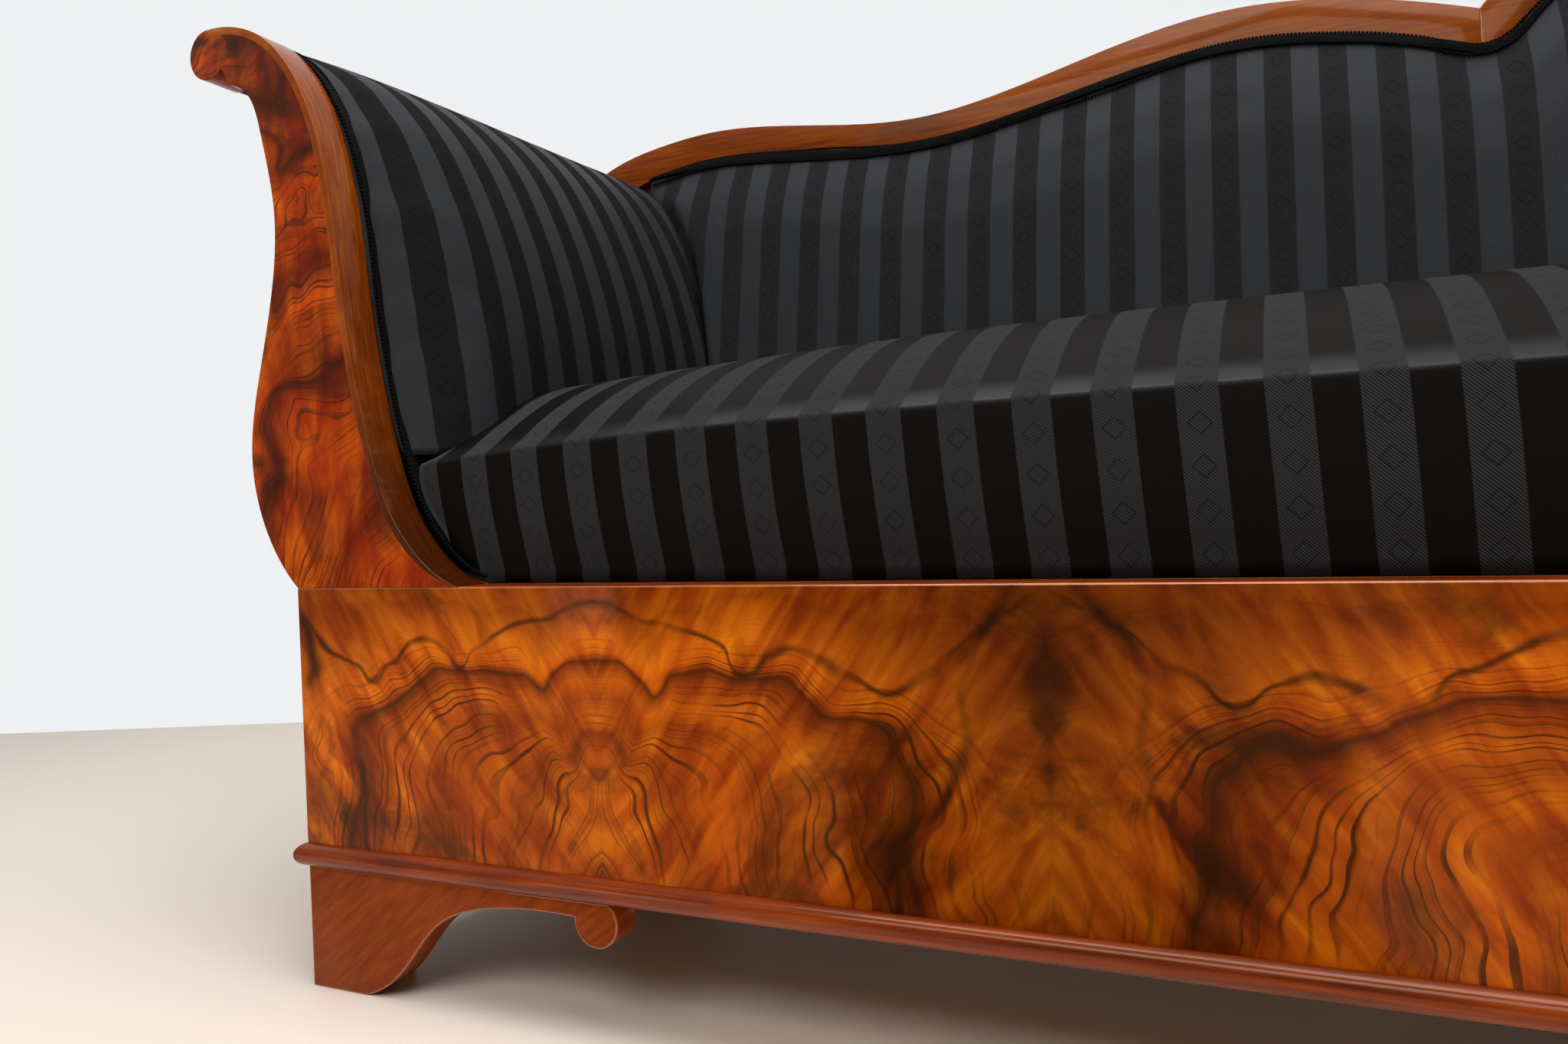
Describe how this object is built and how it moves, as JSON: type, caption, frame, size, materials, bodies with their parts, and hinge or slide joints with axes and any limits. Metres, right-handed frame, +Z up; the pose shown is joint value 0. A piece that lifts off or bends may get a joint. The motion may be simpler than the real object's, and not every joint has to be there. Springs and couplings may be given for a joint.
{
  "type": "upholstered sofa",
  "caption": "Long Biedermeier sofa with S-scrolled arms, a wavy crest and bracket feet, in figured walnut, tightly upholstered in dark striped cloth.",
  "frame": {"origin": "on the floor, under the middle of the sofa's overall box", "axes": "+X to the sitter's left along the sofa, +Y towards the back, +Z up"},
  "size_m": [2.272, 0.6014, 0.8688],
  "materials": {
    "burl_walnut": "shellac polish",
    "polished_walnut": "shellac polish",
    "frame_pine": "planed, unfinished",
    "striped_cloth": "ribbed and satin stripes",
    "black_braid": "woven braid",
    "jute_webbing": "woven",
    "hessian": "coarse weave",
    "spring_steel": "drawn wire"
  },
  "bodies": {
    "root": {"front_veneer": "burl_walnut", "left_side_veneer": "burl_walnut", "right_side_veneer": "burl_walnut", "left_arm_front_veneer": "burl_walnut", "right_arm_front_veneer": "burl_walnut", "front_rail_cap": "polished_walnut", "front_bead": "polished_walnut", "left_side_bead": "polished_walnut", "right_side_bead": "polished_walnut", "left_front_bracket": "polished_walnut", "right_front_bracket": "polished_walnut", "left_front_side_bracket": "polished_walnut", "right_front_side_bracket": "polished_walnut", "left_rear_side_bracket": "polished_walnut", "right_rear_side_bracket": "polished_walnut", "left_arm_front": "polished_walnut", "right_arm_front": "polished_walnut", "left_arm_band": "polished_walnut", "right_arm_band": "polished_walnut", "left_crest_wing": "polished_walnut", "right_crest_wing": "polished_walnut", "crest_arch": "polished_walnut", "left_back_post": "polished_walnut", "right_back_post": "polished_walnut", "front_rail": "frame_pine", "left_side_rail": "frame_pine", "right_side_rail": "frame_pine", "rear_rail": "frame_pine", "corner_blocks": "frame_pine", "front_foot_blocks": "frame_pine", "rear_foot_blocks": "frame_pine", "left_arm_rails": "frame_pine", "right_arm_rails": "frame_pine", "left_arm_pole": "frame_pine", "right_arm_pole": "frame_pine", "back_tongues": "frame_pine", "lower_back_rail": "frame_pine", "back_uprights": "frame_pine", "webbing_strips": "frame_pine", "left_arm_pad": "striped_cloth", "right_arm_pad": "striped_cloth", "back_pad": "striped_cloth", "seat_pad": "striped_cloth", "left_arm_lining": "striped_cloth", "right_arm_lining": "striped_cloth", "back_lining": "striped_cloth", "left_arm_gimp": "black_braid", "right_arm_gimp": "black_braid", "back_gimp": "black_braid", "back_webbing": "jute_webbing", "seat_webbing_across": "jute_webbing", "seat_webbing_along": "jute_webbing", "spring_canvas": "hessian", "seat_springs": "spring_steel"}
  },
  "joints": []
}
